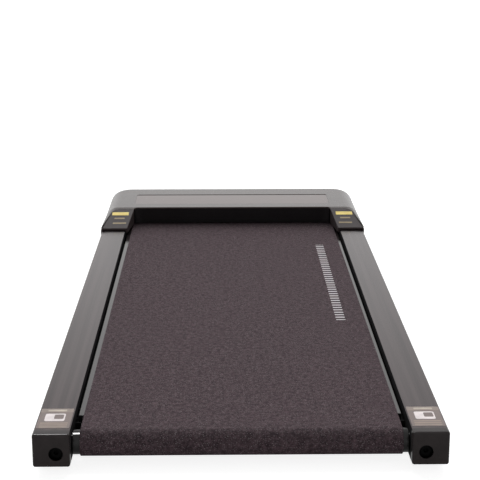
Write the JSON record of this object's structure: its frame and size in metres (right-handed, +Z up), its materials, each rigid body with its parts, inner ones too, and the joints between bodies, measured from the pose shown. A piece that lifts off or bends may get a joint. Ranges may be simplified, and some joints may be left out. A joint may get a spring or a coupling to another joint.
{
  "type": "walking pad",
  "caption": "Low motor-driven walking pad: an endless belt on a deck between brushed side rails, with a rounded motor hood, belt-tension bolts and transport wheels.",
  "frame": {"origin": "on the floor under the middle of the pad", "axes": "+Y along the belt towards the motor hood, +X to the right of someone who walks towards the hood, +Z up"},
  "size_m": [0.5116, 1.27, 0.0783],
  "materials": {
    "frame_steel": "black powder coat",
    "rail_metal": "brushed, dark grey anodised",
    "cap_plastic": "black, fine satin texture",
    "hood_plastic": "taupe-grey metallic lacquer, satin gloss",
    "bezel_plastic": "piano black",
    "lens_plastic": "tinted acrylic, polished",
    "belt_rubber": "charcoal, finely speckled, embossed",
    "deck_wood": "grey laminate over fibreboard",
    "roller_steel": "turned, zinc plated",
    "screw_steel": "zinc plated",
    "soft_rubber": "matte black",
    "wheel_rubber": "moulded, matte",
    "motor_paint": "black enamel",
    "cast_aluminium": "as cast",
    "rotor_iron": "laminated, varnished",
    "inner_plastic": "black, as moulded",
    "rocker_plastic": "black, glossy",
    "circuit_board": "green solder resist",
    "digit_plastic": "unlit, smoked"
  },
  "bodies": {
    "frame": {"base_plate": "frame_steel", "belly_pan": "inner_plastic", "breaker_body": "inner_plastic", "controller_case": "inner_plastic", "controller_lid": "cast_aluminium", "cross_beam_front": "frame_steel", "cross_beam_middle": "frame_steel", "cross_beam_rear": "frame_steel", "deck_board": "deck_wood", "deck_cushions": "soft_rubber", "deck_screws": "screw_steel", "display_board": "circuit_board", "display_digits": "digit_plastic", "display_lens": "lens_plastic", "drive_belt": "soft_rubber", "foot_screws": "screw_steel", "front_axle": "roller_steel", "front_cap_left": "cap_plastic", "front_cap_right": "cap_plastic", "hood_bezel": "bezel_plastic", "hood_cover": "hood_plastic", "motor_can": "motor_paint", "motor_cradle": "inner_plastic", "motor_end_bells": "cast_aluminium", "motor_screws": "screw_steel", "motor_strap": "frame_steel", "pan_screws": "screw_steel", "power_inlet": "inner_plastic", "power_panel": "inner_plastic", "rear_cap_left": "cap_plastic", "rear_cap_right": "cap_plastic", "rear_cap_screws": "screw_steel", "rubber_feet": "soft_rubber", "side_beam_left": "frame_steel", "side_beam_right": "frame_steel", "side_rail_left": "rail_metal", "side_rail_right": "rail_metal", "switch_housing": "inner_plastic", "tension_bracket_left": "frame_steel", "tension_bracket_right": "frame_steel", "walking_belt": "belt_rubber", "wheel_axles": "roller_steel", "wheel_brackets": "frame_steel"},
    "front_roller": {"front_roller_tube": "roller_steel", "front_roller_bearings": "roller_steel", "drive_pulley": "cast_aluminium"},
    "motor_rotor": {"motor_shaft": "roller_steel", "motor_pulley": "cast_aluminium", "motor_fan": "inner_plastic", "motor_rotor_core": "rotor_iron"},
    "tension_axle": {"rear_axle": "roller_steel"},
    "rear_roller": {"rear_roller_tube": "roller_steel", "rear_roller_bearings": "roller_steel"},
    "tension_bolt_left": {"tension_bolt_left": "screw_steel"},
    "tension_bolt_right": {"tension_bolt_right": "screw_steel"},
    "transport_wheel_left": {"transport_wheel_left": "wheel_rubber"},
    "transport_wheel_right": {"transport_wheel_right": "wheel_rubber"},
    "power_rocker": {"power_rocker": "rocker_plastic"},
    "breaker_button": {"breaker_button": "inner_plastic"}
  },
  "joints": [
    {"name": "front_roller_spin", "type": "hinge", "parent": "frame", "child": "front_roller", "pos_m": [0, 0.467, 0.0267], "axis": [1, 0, 0], "continuous": true},
    {"name": "motor_spin", "type": "hinge", "parent": "frame", "child": "motor_rotor", "pos_m": [0, 0.55, 0.039], "axis": [1, 0, 0], "continuous": true},
    {"name": "belt_tension", "type": "slide", "parent": "frame", "child": "tension_axle", "axis": [0, 1, 0], "range_m": [0, 0.008], "deforming": ["walking_belt"]},
    {"name": "rear_roller_spin", "type": "hinge", "parent": "tension_axle", "child": "rear_roller", "pos_m": [0, -0.597, 0.0267], "axis": [1, 0, 0], "continuous": true},
    {"name": "tension_bolt_left_turn", "type": "hinge", "parent": "frame", "child": "tension_bolt_left", "pos_m": [-0.2245, -0.61, 0.0267], "axis": [0, -1, 0], "range_deg": [0, 2310]},
    {"name": "wheel_left_spin", "type": "hinge", "parent": "frame", "child": "transport_wheel_left", "pos_m": [-0.19, 0.616, 0.022], "axis": [1, 0, 0], "continuous": true},
    {"name": "tension_bolt_right_turn", "type": "hinge", "parent": "frame", "child": "tension_bolt_right", "pos_m": [0.2245, -0.61, 0.0267], "axis": [0, -1, 0], "range_deg": [0, 2310]},
    {"name": "wheel_right_spin", "type": "hinge", "parent": "frame", "child": "transport_wheel_right", "pos_m": [0.19, 0.616, 0.022], "axis": [1, 0, 0], "continuous": true},
    {"name": "power_rocker_tilt", "type": "hinge", "parent": "frame", "child": "power_rocker", "pos_m": [0.082, 0.6215, 0.031], "axis": [1, 0, 0], "range_deg": [-16, 0]},
    {"name": "breaker_button_press", "type": "slide", "parent": "frame", "child": "breaker_button", "axis": [0, -1, 0], "range_m": [0, 0.003], "stiffness_N_per_m": 300}
  ],
  "couplings": [
    {"joint": "rear_roller_spin", "follows": "front_roller_spin", "ratio": 1},
    {"joint": "motor_spin", "follows": "front_roller_spin", "ratio": 1.8333},
    {"joint": "tension_bolt_left_turn", "follows": "belt_tension", "rad_per_m": 5026.5},
    {"joint": "tension_bolt_right_turn", "follows": "belt_tension", "rad_per_m": 5026.5}
  ]
}
